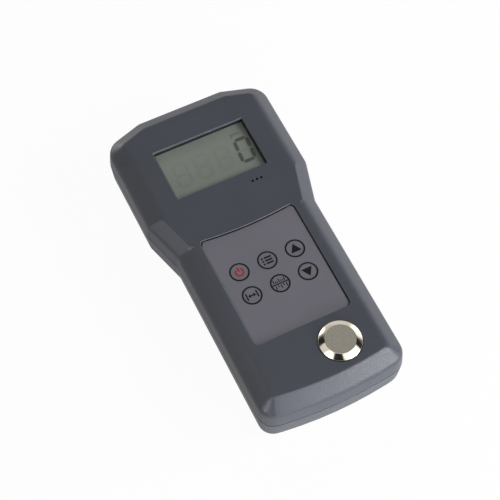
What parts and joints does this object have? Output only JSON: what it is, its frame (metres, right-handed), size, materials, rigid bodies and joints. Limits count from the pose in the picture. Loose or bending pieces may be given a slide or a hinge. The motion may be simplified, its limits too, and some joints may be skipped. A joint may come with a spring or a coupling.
{
  "type": "ultrasonic thickness gauge",
  "caption": "Handheld thickness gauge with a broad display head, a waisted grip, round membrane keys, a round standard block, probe sockets in its top end and a sliding battery cover.",
  "frame": {"origin": "middle of the bottom of the box, with the gauge lying on its back", "axes": "+X to the right, +Y along the length to the probe end, +Z out of the display face"},
  "size_m": [0.08, 0.162, 0.0282],
  "materials": {
    "housing_plastic": "fine moulded texture",
    "overlay_film": "satin printed film",
    "clear_window": "clear",
    "lcd_glass": "grey-green display",
    "white_plastic": "moulded",
    "elastomer": "soft",
    "circuit_board": "solder mask",
    "black_plastic": "moulded",
    "plated_steel": "plated",
    "nickel": "ground top, polished chamfer",
    "cell_jacket": "gloss sleeve",
    "plated_brass": "nickel plated",
    "gold_contact": "gold plated"
  },
  "bodies": {
    "housing": {"front_housing": "housing_plastic", "rear_housing": "housing_plastic", "keypad_overlay": "overlay_film", "display_window": "clear_window", "lcd_panel": "lcd_glass", "lcd_holder": "white_plastic", "elastomer_strip_top": "elastomer", "elastomer_strip_low": "elastomer", "main_board": "circuit_board", "processor_chip": "black_plastic", "amplifier_chip": "black_plastic", "crystal": "plated_steel", "capacitor": "black_plastic", "inductor": "black_plastic", "buzzer": "black_plastic", "standard_block": "nickel", "contact_positive": "plated_steel", "contact_negative": "plated_steel", "socket_nuts": "plated_steel", "housing_screws": "plated_steel", "board_screws": "plated_steel", "switch_power": "black_plastic", "switch_menu": "black_plastic", "switch_up": "black_plastic", "switch_zero": "black_plastic", "switch_units": "black_plastic", "switch_down": "black_plastic", "contact_link_1": "plated_steel", "contact_link_2": "plated_steel", "contact_link_3": "plated_steel", "cell_1": "cell_jacket", "cell_2": "cell_jacket", "cell_3": "cell_jacket", "cell_4": "cell_jacket", "transmit_socket": "plated_brass", "transmit_insulator": "white_plastic", "transmit_pin": "gold_contact", "receive_socket": "plated_brass", "receive_insulator": "white_plastic", "receive_pin": "gold_contact"},
    "cover": {"battery_cover": "housing_plastic"},
    "power_key": {"key_power": "overlay_film", "stem_power": "black_plastic"},
    "menu_key": {"key_menu": "overlay_film", "stem_menu": "black_plastic"},
    "up_key": {"key_up": "overlay_film", "stem_up": "black_plastic"},
    "zero_key": {"key_zero": "overlay_film", "stem_zero": "black_plastic"},
    "units_key": {"key_units": "overlay_film", "stem_units": "black_plastic"},
    "down_key": {"key_down": "overlay_film", "stem_down": "black_plastic"}
  },
  "joints": [
    {"name": "cover_slide", "type": "slide", "parent": "housing", "child": "cover", "axis": [0, -1, 0], "range_m": [0, 0.059]},
    {"name": "power_press", "type": "slide", "parent": "housing", "child": "power_key", "axis": [0, 0, -1], "range_m": [0, 0.0004], "stiffness_N_per_m": 2000, "springref_m": -0.0003},
    {"name": "menu_press", "type": "slide", "parent": "housing", "child": "menu_key", "axis": [0, 0, -1], "range_m": [0, 0.0004], "stiffness_N_per_m": 2000, "springref_m": -0.0003},
    {"name": "up_press", "type": "slide", "parent": "housing", "child": "up_key", "axis": [0, 0, -1], "range_m": [0, 0.0004], "stiffness_N_per_m": 2000, "springref_m": -0.0003},
    {"name": "zero_press", "type": "slide", "parent": "housing", "child": "zero_key", "axis": [0, 0, -1], "range_m": [0, 0.0004], "stiffness_N_per_m": 2000, "springref_m": -0.0003},
    {"name": "units_press", "type": "slide", "parent": "housing", "child": "units_key", "axis": [0, 0, -1], "range_m": [0, 0.0004], "stiffness_N_per_m": 2000, "springref_m": -0.0003},
    {"name": "down_press", "type": "slide", "parent": "housing", "child": "down_key", "axis": [0, 0, -1], "range_m": [0, 0.0004], "stiffness_N_per_m": 2000, "springref_m": -0.0003}
  ]
}
